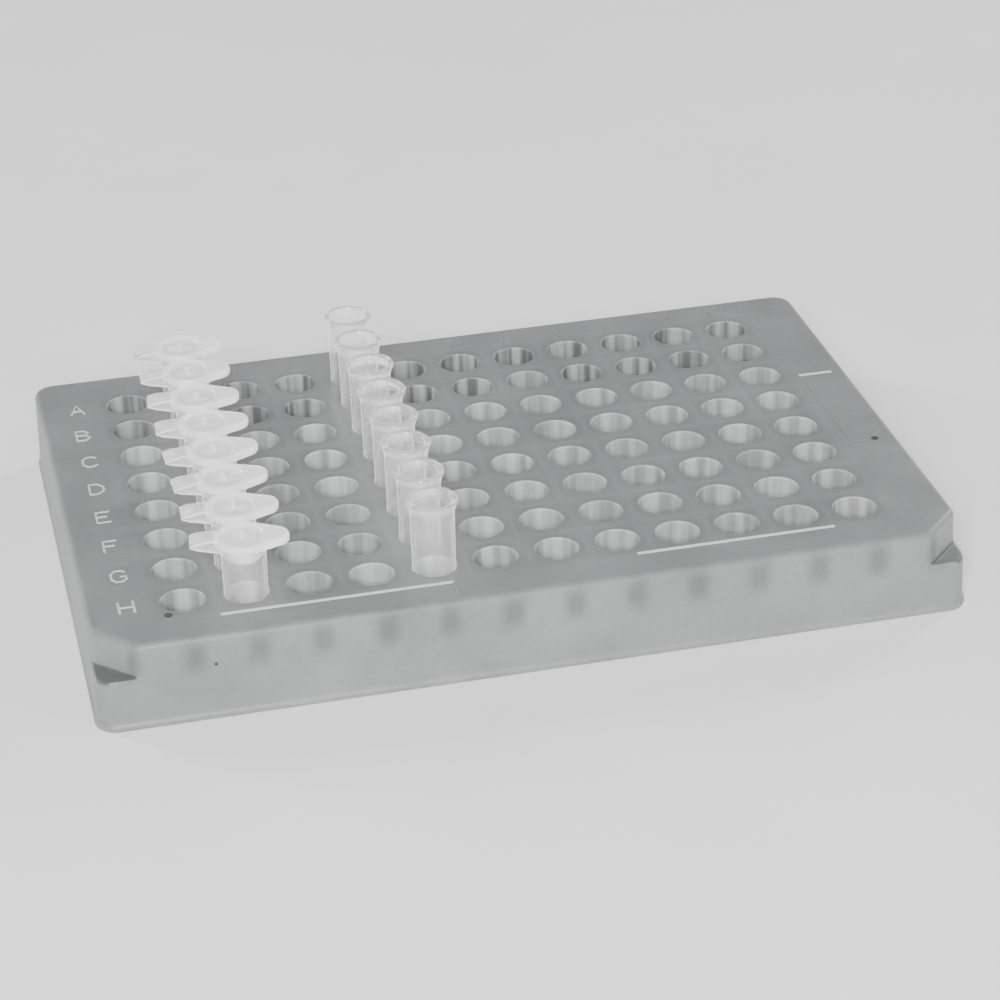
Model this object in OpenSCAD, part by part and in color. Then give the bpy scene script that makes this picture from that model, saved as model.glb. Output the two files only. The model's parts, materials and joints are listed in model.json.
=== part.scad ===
// Rack for 96 small reaction tubes on a square grid, holding one column of
// capped tubes and one column of open tubes. Millimetres, +Z up, origin at
// the middle of the base. Columns run along X, rows along Y with row A at +Y.

/* [Grid] */
// Number of socket columns, along X
columns = 12; // [6:1:12]
// Number of socket rows, along Y
rows = 8; // [4:1:8]
// Distance between neighbouring sockets
pitch = 9; // [8:0.1:12]

/* [Rack] */
// Height from the bench to the top of the deck
rack_h = 13.1; // [11:0.1:25]
// Margin from the grid to the base's left and right edges
side_margin = 9.88; // [7:0.01:15]
// Margin from the grid to the base's front and back edges
front_margin = 6.74; // [5:0.01:12]
// Thickness of the skirt's walls
wall_t = 1.5; // [1:0.1:3]
// Thickness of the deck
deck_t = 1.6; // [1:0.1:3]
// How far each wall leans in from base to deck
lean = 0.3; // [0:0.05:1.5]
// How far the foot lip stands out of the walls
lip_out = 0.3; // [0:0.05:1]
// Height of the foot lip
lip_h = 1; // [0.5:0.1:3]
// Radius of the upright corners
corner_r = 3; // [1:0.5:6]
// Length that the slanting front corners take off each side
corner_cut = 6; // [3:0.5:12]
// Depth from the deck to the ledge below each slanting corner
ledge_drop = 5.3; // [3:0.1:9]

/* [Sockets] */
// Radius of each socket's bore
socket_r = 3.2; // [2.8:0.05:3.6]
// Thickness of each socket's sleeve
sleeve_t = 0.8; // [0.5:0.05:1]
// Thickness of the rails under the sleeves' feet
rail_t = 1; // [0.6:0.1:2]
// Half width of the slot between two rails, which the tubes' cones rest in
slot_half = 2; // [1.6:0.05:2.6]
// Radial gap between a sleeve's outside and the outer rails' outer edges
rail_edge = 0.5; // [0:0.1:1]
// Height of the lowest tube tip above the bench
tip_clear = 0.9; // [0.3:0.1:4]
// Gap between a resting cone and the rails
seat_gap = 0.06; // [0.02:0.01:0.2]

/* [Tubes] */
// Radial gap between a tube's barrel and its socket
barrel_gap = 0.12; // [0.08:0.01:0.5]
// How much wider the barrel is under the rim, on the radius
barrel_flare = 0.1; // [0:0.05:0.3]
// Wall thickness of every tube
tube_t = 0.35; // [0.25:0.05:0.6]
// Depth of the straight mouth
mouth_depth = 3; // [2.5:0.1:5]
// Chamfer at the mouth's edge
mouth_chamfer = 0.2; // [0:0.05:0.3]

/* [Open tubes] */
// Column that holds the open tubes
open_column = 5; // [1:1:12]
// Length from rim to tip
open_len = 21.7; // [18:0.1:26]
// Height of the barrel's lower end above the tip
open_cone_h = 8.2; // [7:0.1:12]
// Half angle of the cone
open_cone_angle = 13; // [8:0.5:16]
// How far the rim stands out of the barrel
open_rim_out = 0.55; // [0.3:0.05:0.8]
// Height of the rim
open_rim_h = 1.3; // [0.8:0.1:2]

/* [Capped tubes] */
// Column that holds the capped tubes
capped_column = 2; // [2:1:11]
// Length from rim to tip
capped_len = 20.05; // [17:0.05:24]
// Height of the barrel's lower end above the tip
capped_cone_h = 11.1; // [8:0.1:13]
// Half angle of the cone
capped_cone_angle = 10; // [6:0.5:12]
// How far the collar stands out of the barrel
collar_out = 0.4; // [0.3:0.05:0.7]
// Height of the collar
collar_h = 1.1; // [0.8:0.1:2]
// Small turn of each capped tube about its own axis, from row A to row H
capped_turn = [1.8, -2.4, -6.6, -3, 1, 0.8, -3.4, -7.6]; // [-10:0.2:10]

/* [Caps] */
// Gap between neighbouring caps
cap_gap = 1.1; // [0.4:0.1:2]
// Thickness of a cap
cap_t = 1.3; // [0.9:0.1:2]
// Gap between a closed cap and the rim below it
cap_lift = 0.05; // [0.02:0.01:0.1]
// Radius of the round end of the thumb tab
tab_r = 2; // [1.5:0.1:3]
// How far the thumb tab reaches from the tube's axis
tab_reach = 6.55; // [5.5:0.05:7.5]
// Depth of the shallow dish in the cap's top
dish_depth = 0.3; // [0.1:0.05:0.5]
// Width of the flat border round that dish
dish_border = 0.9; // [0.5:0.1:1.5]
// Length of the plug below the cap
plug_len = 2.2; // [1.5:0.1:2.5]
// Radial gap between the plug and the mouth
plug_gap = 0.08; // [0.03:0.01:0.1]
// Wall thickness of the plug
plug_t = 0.7; // [0.4:0.1:1]

/* [Hinge straps] */
// Width of a strap
strap_w = 3.6; // [2.5:0.1:5]
// Thickness of each leaf of a strap
leaf_t = 0.45; // [0.3:0.05:0.7]
// Distance of the fold from the cap's edge
fold_reach = 3.2; // [2.5:0.05:4.5]
// Height of the fold above the cap's underside
fold_lift = 0.65; // [0:0.05:0.9]
// Radius of the bead along the fold
bead_r = 0.25; // [0.15:0.05:0.4]
// Gap between that bead and the leaf that turns round it
bead_gap = 0.05; // [0.02:0.01:0.1]
// Slope of the leaf on the cap
cap_leaf_angle = 6; // [3:1:15]
// Slope of the leaf on the tube
tube_leaf_angle = 15; // [8:1:25]

/* [Hidden] */
$fn = 96;
letters = "abcdefgh";
far = 500; // longer than any piece, for limits that only cut on one side
past = 1; // how far a cut runs past the face that it opens

grid_l = columns * pitch;
grid_w = rows * pitch;
rack_l = grid_l + 2 * side_margin;
rack_w = grid_w + 2 * front_margin;
ledge_h = rack_h - ledge_drop;

// A tube kind is [length, cone height, cone half angle, rim reach, rim height].
open_kind = [open_len, open_cone_h, open_cone_angle, open_rim_out, open_rim_h];
capped_kind = [capped_len, capped_cone_h, capped_cone_angle, collar_out, collar_h];

barrel_r = socket_r - barrel_gap;
neck_r = barrel_r + barrel_flare;
mouth_r = neck_r - tube_t;

// Height above the tip where a cone is as wide as the slot lets it be
function seat_level(kind) = kind[1] - (barrel_r - slot_half + seat_gap) / tan(kind[2]);

sleeve_foot = tip_clear + max(seat_level(open_kind), seat_level(capped_kind));
open_tip = sleeve_foot - seat_level(open_kind);
capped_tip = sleeve_foot - seat_level(capped_kind);

capped_rim = capped_tip + capped_len;
cap_bottom = capped_rim + cap_lift;
cap_r = (pitch - cap_gap) / 2;
plug_r = mouth_r - plug_gap;
fold_r = cap_r + fold_reach;
fold_z = cap_bottom + fold_lift;

// Greatest reach of the plug at a depth below the cap, from the fold that it
// swings about, for it to clear the mouth's far edge on its way out
function plug_limit(depth) = sqrt(
    pow(fold_r + plug_r, 2) + pow(fold_lift, 2) - pow(depth + fold_lift, 2)
) - fold_r;

function column_x(c) = (c - (columns + 1) / 2) * pitch;
function row_y(r) = ((rows - 1) / 2 - r) * pitch;
function two_digits(n) = n < 10 ? str("0", n) : str(n);
function column_name(c) = str("socket_column_", two_digits(c));
function rail_name(n) = str("seat_rail_", two_digits(n));
function tube_name(kind, r, c) = str(kind, "_", letters[r], c);

rack_frame();
for (c = [1 : columns]) {
    socket_column(c);
}
for (n = [1 : rows + 1]) {
    seat_rail(n);
}
for (r = [0 : rows - 1]) {
    capped_tube(r);
    cap(r);
    open_tube(r);
}

// ---- the rack ----

// Rectangle with round corners
module rounded_plan(l, w, r) {
    square([l - 2 * r, w], center = true);
    square([l, w - 2 * r], center = true);
    for (x = [-1, 1], y = [-1, 1]) {
        translate([x * (l / 2 - r), y * (w / 2 - r)]) circle(r);
    }
}

// The same with its two front corners cut off at 45 degrees
module cut_plan(l, w, r, cut) {
    difference() {
        rounded_plan(l, w, r);
        for (x = [-1, 1]) {
            translate([x * l / 2, -w / 2]) rotate(45) square(cut * sqrt(2), center = true);
        }
    }
}

// Space between two pairs of walls that lean towards each other
module leaning_space(l, w, h) {
    intersection() {
        rotate([90, 0, 0]) linear_extrude(far, center = true) leaning_section(l, h);
        rotate([90, 0, 90]) linear_extrude(far, center = true) leaning_section(w, h);
    }
}

module leaning_section(l, h) {
    polygon([[-l / 2, 0], [l / 2, 0], [l / 2 - lean, h], [lean - l / 2, h]]);
}

// Skirt block: full plan up to the ledge, cut corners above it
module skirt_block(l, w, r, cut, ledge, top) {
    intersection() {
        union() {
            linear_extrude(ledge) rounded_plan(l, w, r);
            linear_extrude(top) cut_plan(l, w, r, cut);
        }
        leaning_space(l, w, top);
    }
}

module rack_frame() {
    wall_l = rack_l - 2 * lip_out;
    wall_w = rack_w - 2 * lip_out;
    hollow_l = wall_l - 2 * wall_t;
    hollow_w = wall_w - 2 * wall_t;
    hollow_r = max(corner_r - wall_t, 0.5);
    hollow_cut = corner_cut - wall_t * (2 - sqrt(2));
    color([0.80, 0.82, 0.82])
    difference() {
        union() {
            skirt_block(wall_l, wall_w, corner_r, corner_cut, ledge_h, rack_h);
            linear_extrude(lip_h) rounded_plan(rack_l, rack_w, corner_r + lip_out);
        }
        skirt_block(hollow_l, hollow_w, hollow_r, hollow_cut, ledge_h - deck_t, rack_h - deck_t);
        linear_extrude(rack_h + past) square([grid_l, grid_w], center = true);
        translate([0, 0, -past]) {
            linear_extrude(2 * past) rounded_plan(hollow_l, hollow_w, hollow_r);
        }
    }
}

// One column of the deck with its sleeves
module socket_column(c) {
    color([0.72, 0.74, 0.75])
    translate([column_x(c), 0, 0])
    difference() {
        union() {
            translate([-pitch / 2, -grid_w / 2, rack_h - deck_t]) cube([pitch, grid_w, deck_t]);
            for (r = [0 : rows - 1]) {
                translate([0, row_y(r), sleeve_foot]) {
                    cylinder(rack_h - deck_t / 2 - sleeve_foot, r = socket_r + sleeve_t);
                }
            }
        }
        for (r = [0 : rows - 1]) {
            translate([0, row_y(r), 0]) cylinder(far, r = socket_r);
        }
    }
}

// One rail under the sleeves' feet. Rail 1 runs outside row A, and the last
// one outside the last row; the others lie between two rows.
module seat_rail(n) {
    outer = socket_r + sleeve_t + rail_edge;
    front = n > rows ? row_y(rows - 1) - outer : row_y(n - 1) + slot_half;
    back = n == 1 ? row_y(0) + outer : row_y(n - 2) - slot_half;
    color([0.66, 0.68, 0.69])
    translate([-grid_l / 2, front, sleeve_foot - rail_t]) {
        cube([grid_l, back - front, rail_t]);
    }
}

// ---- the tubes ----

// Half section of a tube's outside (inset 0) or of its hollow (inset tube_t),
// from the tip at the origin up to the barrel's top
module tube_section(kind, inset, top_r) {
    slope = tan(kind[2]);
    stretch = sqrt(1 + slope * slope);
    tip_r = (barrel_r - slope * kind[1]) / (stretch - slope);
    ball_r = tip_r - inset;
    cone_h = kind[1] + inset * (stretch - 1) / slope;
    intersection() {
        square([far, far]);
        union() {
            translate([0, tip_r]) circle(ball_r);
            polygon([
                [0, tip_r],
                [ball_r / stretch, tip_r - ball_r * slope / stretch],
                [barrel_r - inset, cone_h],
                [top_r, kind[0] - mouth_depth],
                [top_r, kind[0]],
                [0, kind[0]]
            ]);
        }
    }
}

module tube_outside(kind) {
    rim_r = neck_r + kind[3];
    rim_foot = kind[0] - kind[4];
    rotate_extrude() {
        tube_section(kind, 0, neck_r);
        polygon([
            [0, rim_foot - kind[3]],
            [neck_r, rim_foot - kind[3]],
            [rim_r, rim_foot],
            [rim_r, kind[0]],
            [0, kind[0]]
        ]);
    }
}

// Inside of a tube, open at its mouth
module tube_hollow(kind) {
    rotate_extrude() {
        tube_section(kind, tube_t, mouth_r);
        translate([0, kind[0] - mouth_depth]) square([mouth_r, mouth_depth + past]);
        polygon([
            [0, kind[0] - mouth_chamfer],
            [mouth_r, kind[0] - mouth_chamfer],
            [mouth_r + mouth_chamfer + past, kind[0] + past],
            [0, kind[0] + past]
        ]);
    }
}

module open_tube(r) {
    color([0.90, 0.92, 0.93, 0.6])
    translate([column_x(open_column), row_y(r), open_tip])
    difference() {
        tube_outside(open_kind);
        tube_hollow(open_kind);
    }
}

// Places a piece of a capped tube: turned about the tube's axis
module capped_place(r) {
    translate([column_x(capped_column), row_y(r), 0]) rotate(capped_turn[r]) children();
}

// A flat strap along a section drawn in X and Z
module strap_solid() {
    rotate([90, 0, 0]) linear_extrude(strap_w, center = true) children();
}

module capped_tube(r) {
    color([0.90, 0.92, 0.93, 0.6])
    capped_place(r)
    difference() {
        union() {
            translate([0, 0, capped_tip]) tube_outside(capped_kind);
            strap_solid() tube_leaf_section();
        }
        translate([0, 0, capped_tip]) tube_hollow(capped_kind);
    }
}

// Leaf from the fold down to the collar, with the bead that the cap turns on
module tube_leaf_section() {
    run = fold_r - mouth_r / 2;
    drop = run * tan(tube_leaf_angle);
    depth = leaf_t / cos(tube_leaf_angle);
    translate([-fold_r, fold_z]) {
        circle(bead_r);
        polygon([[0, 0], [run, -drop], [run, -drop - depth], [0, -depth]]);
    }
}

// ---- the caps ----

module cap(r) {
    color([0.93, 0.94, 0.95, 0.7])
    capped_place(r)
    union() {
        difference() {
            translate([0, 0, cap_bottom]) linear_extrude(cap_t) cap_plan();
            translate([0, 0, cap_bottom + cap_t - dish_depth]) {
                cylinder(dish_depth + past, r = cap_r - dish_border);
            }
        }
        plug();
        strap_solid() cap_leaf_section();
    }
}

// Round cap whose sides run on tangents to the thumb tab
module cap_plan() {
    tab_x = tab_reach - tab_r;
    side = acos((cap_r - tab_r) / tab_x);
    circle(cap_r);
    translate([tab_x, 0]) circle(tab_r);
    polygon([
        [cap_r * cos(side), cap_r * sin(side)],
        [tab_x + tab_r * cos(side), tab_r * sin(side)],
        [tab_x + tab_r * cos(side), -tab_r * sin(side)],
        [cap_r * cos(side), -cap_r * sin(side)]
    ]);
}

// Hollow plug, a little narrower than the circle that its edge swings on
module plug() {
    draw = plug_r - plug_limit(plug_len);
    end_r = plug_r - 1.15 * draw;
    translate([0, 0, cap_bottom])
    rotate_extrude() {
        polygon([
            [plug_r - plug_t, cap_t / 3],
            [plug_r, cap_t / 3],
            [plug_r, 0],
            [plug_r - 0.35 * draw, -plug_len / 2],
            [end_r, -plug_len],
            [end_r - plug_t / 2, -plug_len],
            [plug_r - plug_t - 0.35 * draw, -plug_len / 2]
        ]);
    }
}

// Leaf from the cap's edge down to the fold, hollowed round the bead
module cap_leaf_section() {
    run = fold_reach + dish_border / 2;
    rise = run * tan(cap_leaf_angle);
    depth = leaf_t / cos(cap_leaf_angle);
    difference() {
        translate([-fold_r, fold_z]) {
            polygon([[0, 0], [run, rise], [run, rise + depth], [0, depth]]);
        }
        translate([-fold_r, fold_z]) circle(bead_r + bead_gap);
    }
}
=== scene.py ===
import json
import math

import bmesh
import bpy
from mathutils import Matrix, Vector


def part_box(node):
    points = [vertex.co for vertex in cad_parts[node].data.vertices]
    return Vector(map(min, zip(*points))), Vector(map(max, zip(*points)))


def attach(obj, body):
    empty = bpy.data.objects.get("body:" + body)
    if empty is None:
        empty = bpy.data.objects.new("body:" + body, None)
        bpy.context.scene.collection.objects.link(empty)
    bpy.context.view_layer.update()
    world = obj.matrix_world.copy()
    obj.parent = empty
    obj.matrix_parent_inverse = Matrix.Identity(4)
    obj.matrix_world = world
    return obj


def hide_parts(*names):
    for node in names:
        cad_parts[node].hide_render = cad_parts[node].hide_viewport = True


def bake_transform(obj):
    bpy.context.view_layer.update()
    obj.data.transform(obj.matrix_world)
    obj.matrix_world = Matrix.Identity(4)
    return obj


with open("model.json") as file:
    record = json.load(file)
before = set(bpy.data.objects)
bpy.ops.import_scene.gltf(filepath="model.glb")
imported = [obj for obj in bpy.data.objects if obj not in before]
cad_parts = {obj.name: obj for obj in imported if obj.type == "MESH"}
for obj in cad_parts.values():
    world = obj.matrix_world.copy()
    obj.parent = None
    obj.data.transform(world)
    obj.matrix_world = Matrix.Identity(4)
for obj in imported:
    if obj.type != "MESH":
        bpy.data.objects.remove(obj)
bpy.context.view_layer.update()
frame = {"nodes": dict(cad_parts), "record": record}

# ---------------------------------------------------------------- sizes, metres
MM = 0.001
WELD = 1e-7
SHARP_ANGLE = math.radians(38)
ROW_LETTERS = "ABCDEFGH"

NODE_BOX = {name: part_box(name) for name in frame["nodes"]}
MOUNTS = {m["name"]: m for m in frame["record"]["mounts"]}
JOINTS = {j["name"]: j for j in frame["record"]["behaviour"]["joints"]}


def low(node):
    return Vector(NODE_BOX[node][0])


def high(node):
    return Vector(NODE_BOX[node][1])


def middle(node):
    return (low(node) + high(node)) / 2


COLUMN_NODES = sorted(n for n in NODE_BOX if n.startswith("socket_column"))
COLUMNS = len(COLUMN_NODES)
ROWS = len(ROW_LETTERS)
PITCH = (high("socket_column_01") - low("socket_column_01")).x
GRID_L = COLUMNS * PITCH
GRID_W = ROWS * PITCH

BASE = high("rack_frame") - low("rack_frame")
DECK = high("rack_frame").z
SLEEVE_FOOT = low("socket_column_01").z
SOCKET = MOUNTS["socket_a1"]["dims"]
BORE_R = SOCKET["r_mm"] * MM
SLEEVE_WALL = 0.8 * MM
SLEEVE_R = BORE_R + SLEEVE_WALL
RAIL_NODES = sorted(n for n in NODE_BOX if n.startswith("seat_rail"))
WALL = 1.5 * MM
DECK_T = 1.6 * MM
LEAN = 0.3 * MM
LIP_OUT = 0.3 * MM
LIP_H = 1.0 * MM
CORNER_R = 3.0 * MM
CORNER_CUT = 6.0 * MM
LEDGE = DECK - 5.3 * MM
SKIRT_HALF_L = BASE.x / 2 - LIP_OUT
SKIRT_HALF_W = BASE.y / 2 - LIP_OUT

TUBE_WALL = 0.35 * MM
MOUTH_R = MOUNTS["mouth_a5"]["dims"]["r_mm"] * MM
NECK_R = MOUTH_R + TUBE_WALL
BARREL_FLARE = 0.1 * MM
BARREL_R = NECK_R - BARREL_FLARE


def column_x(number):
    return (number - (COLUMNS + 1) / 2) * PITCH


def row_y(index):
    return ((ROWS - 1) / 2 - index) * PITCH


# Two tones for each part of the rack, between which its clouds drift
# Painted shade: the deck's tones are darker than the walls', standing in for the dark hollow seen
# through the thin deck.
DECK_SHADED_TONES = ((0.179, 0.183, 0.184), (0.241, 0.245, 0.246))
WALL_TONES = ((0.214, 0.218, 0.219), (0.280, 0.284, 0.284))
# Painted light: the bore walls are brighter than the deck, standing in for light through the
# sleeves.
BORE_LIT_TONES = ((0.28, 0.284, 0.284), (0.50, 0.505, 0.505))
# Painted shade: the back rows' bore walls are darker, for the dark behind the rack showing through
# their sleeves.
BACK_BORE_SHADED_TONES = ((0.13, 0.132, 0.133), (0.38, 0.384, 0.385))


# ---------------------------------------------------------------- mesh helpers
def finished(name, mesh, material, thick=None, above=0.0):
    """A piece at the origin with its place in its mesh, smooth but for its true edges.

    Faces above a height take the material of the thick part, where one is given.
    """
    for polygon in mesh.polygons:
        polygon.use_smooth = True
    mesh.set_sharp_from_angle(angle=SHARP_ANGLE)
    mesh.materials.clear()
    mesh.materials.append(material)
    if thick:
        mesh.materials.append(thick)
        for polygon in mesh.polygons:
            polygon.material_index = int(polygon.center.z > above)
    piece = bpy.data.objects.new(name, mesh)
    bpy.context.scene.collection.objects.link(piece)
    return piece


def ring_mesh(name, rings, close_start=False, close_end=False):
    """Skins a list of rings of equal length, each a list of points."""
    bm = bmesh.new()
    rows = [[bm.verts.new(p) for p in ring] for ring in rings]
    count = len(rows[0])
    for upper, lower in zip(rows, rows[1:]):
        for i in range(count):
            j = (i + 1) % count
            bm.faces.new((upper[i], lower[i], lower[j], upper[j]))
    if close_start:
        bm.faces.new(rows[0])
    if close_end:
        bm.faces.new(reversed(rows[-1]))
    mesh = bpy.data.meshes.new(name)
    bm.to_mesh(mesh)
    bm.free()
    return mesh


def outward(mesh):
    """Turns every face of a closed mesh outwards."""
    bm = bmesh.new()
    bm.from_mesh(mesh)
    bmesh.ops.remove_doubles(bm, verts=bm.verts, dist=WELD)
    bmesh.ops.recalc_face_normals(bm, faces=bm.faces)
    bm.to_mesh(mesh)
    bm.free()
    return mesh


def arc(centre, radius, start, end, steps):
    """Points of an arc in a flat section, angles in degrees."""
    angles = [math.radians(start + (end - start) * i / steps) for i in range(steps + 1)]
    return [(centre[0] + radius * math.cos(a), centre[1] + radius * math.sin(a)) for a in angles]


def lathe(name, section, segments=56):
    """Turns a section of (radius, height) about Z. A radius of 0 at either end is a pole."""
    body = [p for p in section if p[0] > WELD]
    rings = []
    for radius, height in body:
        ring = []
        for i in range(segments):
            a = 2 * math.pi * i / segments
            ring.append(Vector((radius * math.cos(a), radius * math.sin(a), height)))
        rings.append(ring)
    bm = bmesh.new()
    rows = [[bm.verts.new(p) for p in ring] for ring in rings]
    for upper, lower in zip(rows, rows[1:]):
        for i in range(segments):
            j = (i + 1) % segments
            bm.faces.new((upper[i], lower[i], lower[j], upper[j]))
    for end, row in ((section[0], rows[0]), (section[-1], rows[-1])):
        if end[0] <= WELD:
            pole = bm.verts.new((0, 0, end[1]))
            for i in range(segments):
                bm.faces.new((row[i], row[(i + 1) % segments], pole))
    bmesh.ops.recalc_face_normals(bm, faces=bm.faces)
    mesh = bpy.data.meshes.new(name)
    bm.to_mesh(mesh)
    bm.free()
    return mesh


def placed(mesh, turn, x, y):
    """Turns a mesh about the upright axis and puts it where it belongs."""
    mesh.transform(Matrix.Translation((x, y, 0.0)) @ Matrix.Rotation(turn, 4, "Z"))
    return mesh


# ---------------------------------------------------------------- node trees
def material_tree(name):
    material = bpy.data.materials.new(name)
    material.use_nodes = True
    tree = material.node_tree
    shader = tree.nodes["Principled BSDF"]
    return material, tree, shader


def object_coordinates(tree):
    return tree.nodes.new("ShaderNodeTexCoord").outputs["Object"]


def noise(tree, vector, scale, detail=3.0, roughness=0.5):
    node = tree.nodes.new("ShaderNodeTexNoise")
    node.inputs["Scale"].default_value = scale
    node.inputs["Detail"].default_value = detail
    node.inputs["Roughness"].default_value = roughness
    tree.links.new(vector, node.inputs["Vector"])
    return node.outputs["Fac"]


def ramp(tree, value, stops):
    node = tree.nodes.new("ShaderNodeValToRGB")
    elements = node.color_ramp.elements
    while len(elements) < len(stops):
        elements.new(0.5)
    for element, (position, colour) in zip(elements, stops):
        element.position = position
        element.color = (*colour, 1.0)
    tree.links.new(value, node.inputs["Fac"])
    return node.outputs["Color"]


def spread(tree, value, least, most):
    node = tree.nodes.new("ShaderNodeMapRange")
    node.inputs["To Min"].default_value = least
    node.inputs["To Max"].default_value = most
    tree.links.new(value, node.inputs["Value"])
    return node.outputs["Result"]


def bump(tree, shader, height, strength, distance):
    node = tree.nodes.new("ShaderNodeBump")
    node.inputs["Strength"].default_value = strength
    node.inputs["Distance"].default_value = distance
    tree.links.new(height, node.inputs["Height"])
    tree.links.new(node.outputs["Normal"], shader.inputs["Normal"])


def blend_colours(tree, factor, first, second):
    node = tree.nodes.new("ShaderNodeMix")
    node.data_type = "RGBA"
    tree.links.new(factor, node.inputs["Factor"])
    tree.links.new(first, node.inputs[6])
    tree.links.new(second, node.inputs[7])
    return node.outputs[2]


def darkened(tree, colour, amount):
    """A colour made darker by a share that goes from 0 to 1."""
    node = tree.nodes.new("ShaderNodeMix")
    node.data_type = "RGBA"
    tree.links.new(amount, node.inputs["Factor"])
    tree.links.new(colour, node.inputs[6])
    node.inputs[7].default_value = (0.0, 0.0, 0.0, 1.0)
    return node.outputs[2]


def band(tree, value, edges, ends):
    """Moves smoothly from one end value to the other as value crosses the edges."""
    node = tree.nodes.new("ShaderNodeMapRange")
    node.interpolation_type = "SMOOTHSTEP"
    node.inputs["From Min"].default_value, node.inputs["From Max"].default_value = edges
    node.inputs["To Min"].default_value, node.inputs["To Max"].default_value = ends
    tree.links.new(value, node.inputs["Value"])
    return node.outputs["Result"]


def maths(tree, operation, first, second=None):
    node = tree.nodes.new("ShaderNodeMath")
    node.operation = operation
    tree.links.new(first, node.inputs[0])
    if isinstance(second, float):
        node.inputs[1].default_value = second
    elif second is not None:
        tree.links.new(second, node.inputs[1])
    return node.outputs["Value"]


def axis_value(tree, vector, axis):
    node = tree.nodes.new("ShaderNodeSeparateXYZ")
    tree.links.new(vector, node.inputs["Vector"])
    return node.outputs[axis]


def noted(tree, name):
    """A number that the mesh carries on its points."""
    node = tree.nodes.new("ShaderNodeAttribute")
    node.attribute_name = name
    return node.outputs["Fac"]


def stretched(tree, vector, factors):
    node = tree.nodes.new("ShaderNodeMapping")
    node.inputs["Scale"].default_value = factors
    tree.links.new(vector, node.inputs["Vector"])
    return node.outputs["Vector"]


def sleeves_behind_wall(tree, where):
    """Painted shade: soft dark bars where the shade of the outer sleeves shows through the top of
    the long walls.
    """
    across = maths(tree, "ADD", axis_value(tree, where, "X"), GRID_L / 2)
    cell = maths(tree, "FRACT", maths(tree, "DIVIDE", across, PITCH))
    off = maths(tree, "ABSOLUTE", maths(tree, "SUBTRACT", cell, 0.5))
    near = band(tree, off, (0.03, 0.30), (1.0, 0.0))
    up = axis_value(tree, where, "Z")
    away = maths(tree, "ABSOLUTE", maths(tree, "SUBTRACT", up, DECK - 3.0 * MM))
    level_share = band(tree, away, (0.4 * MM, 4.0 * MM), (1.0, 0.0))
    out = maths(tree, "ABSOLUTE", axis_value(tree, where, "Y"))
    on_wall = band(tree, out, (GRID_W / 2 + 4.4 * MM, GRID_W / 2 + 5.4 * MM), (0.0, 1.0))
    return maths(tree, "MULTIPLY", maths(tree, "MULTIPLY", near, level_share), on_wall)


def frosted_polypropylene():
    """Natural polypropylene from a finely etched mould: cloudy, with painted light and shade in
    its colour.
    """
    material, tree, shader = material_tree("frosted_polypropylene")
    where = object_coordinates(tree)
    clouds = noise(tree, where, 75.0, detail=4.0, roughness=0.6)
    grain = noise(tree, where, 3800.0, detail=2.0)
    speckle = noise(tree, where, 1500.0, detail=3.0, roughness=0.7)
    # Painted light: streaky vertical light on the bore walls.
    bore_light_streaks = noise(tree, stretched(tree, where, (1.0, 1.0, 0.03)), 520.0, detail=2.0)
    deck = ramp(tree, clouds, [(0.30, DECK_SHADED_TONES[0]), (0.72, DECK_SHADED_TONES[1])])
    walls = ramp(tree, clouds, [(0.30, WALL_TONES[0]), (0.72, WALL_TONES[1])])
    bore_light_and_shade = ramp(tree, bore_light_streaks, [(0.36, BORE_LIT_TONES[0]), (0.62, BORE_LIT_TONES[1])])
    clear = ramp(tree, bore_light_streaks, [(0.38, BACK_BORE_SHADED_TONES[0]), (0.58, BACK_BORE_SHADED_TONES[1])])
    # Painted shade: the bore walls of the two back rows take the darker tones.
    bore_light_and_shade = blend_colours(tree, noted(tree, "clear"), bore_light_and_shade, clear)
    up = axis_value(tree, where, "Z")
    # Painted shade: the top of the deck takes the darker deck tones, and the walls below it the
    # lighter ones.
    colour = blend_colours(tree, band(tree, up, (DECK - 1.0 * MM, DECK - 0.3 * MM), (1.0, 0.0)),
                           deck, walls)
    # Painted light: the bore walls take the brighter, streaky tones.
    colour = blend_colours(tree, noted(tree, "bore"), colour, bore_light_and_shade)
    # Painted shadow: the deck is darkened over each sleeve, round its hole.
    colour = darkened(tree, colour, maths(tree, "MULTIPLY", noted(tree, "sleeve"), 0.16))
    # Painted shade: the tops of the slanting corners' ledges are darkened.
    colour = darkened(tree, colour, maths(tree, "MULTIPLY", noted(tree, "ledge"), 0.60))
    # Painted shade: dark bars on the long walls behind the outer sleeves.
    colour = darkened(tree, colour,
                      maths(tree, "MULTIPLY", sleeves_behind_wall(tree, where), 0.34))
    colour = darkened(tree, colour, band(tree, speckle, (0.35, 0.75), (0.0, 0.10)))
    tree.links.new(colour, shader.inputs["Base Color"])
    tree.links.new(spread(tree, clouds, 0.40, 0.52), shader.inputs["Roughness"])
    bump(tree, shader, grain, 0.15, 0.00006)
    shader.inputs["IOR"].default_value = 1.49
    shader.inputs["Transmission Weight"].default_value = 0.12
    shader.inputs["Subsurface Weight"].default_value = 0.55
    shader.inputs["Subsurface Radius"].default_value = (1.0, 1.0, 1.0)
    shader.inputs["Subsurface Scale"].default_value = 2.0 * MM
    return material


def lets_lamps_through(tree, shader, share):
    """Light passes the thin wall instead of stopping at it, so what it holds is lit."""
    path = tree.nodes.new("ShaderNodeLightPath")
    open_way = tree.nodes.new("ShaderNodeBsdfTransparent")
    mix = tree.nodes.new("ShaderNodeMixShader")
    tree.links.new(maths(tree, "MULTIPLY", path.outputs["Is Shadow Ray"], share),
                   mix.inputs["Fac"])
    tree.links.new(shader.outputs["BSDF"], mix.inputs[1])
    tree.links.new(open_way.outputs["BSDF"], mix.inputs[2])
    tree.links.new(mix.outputs["Shader"], tree.nodes["Material Output"].inputs["Surface"])


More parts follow.
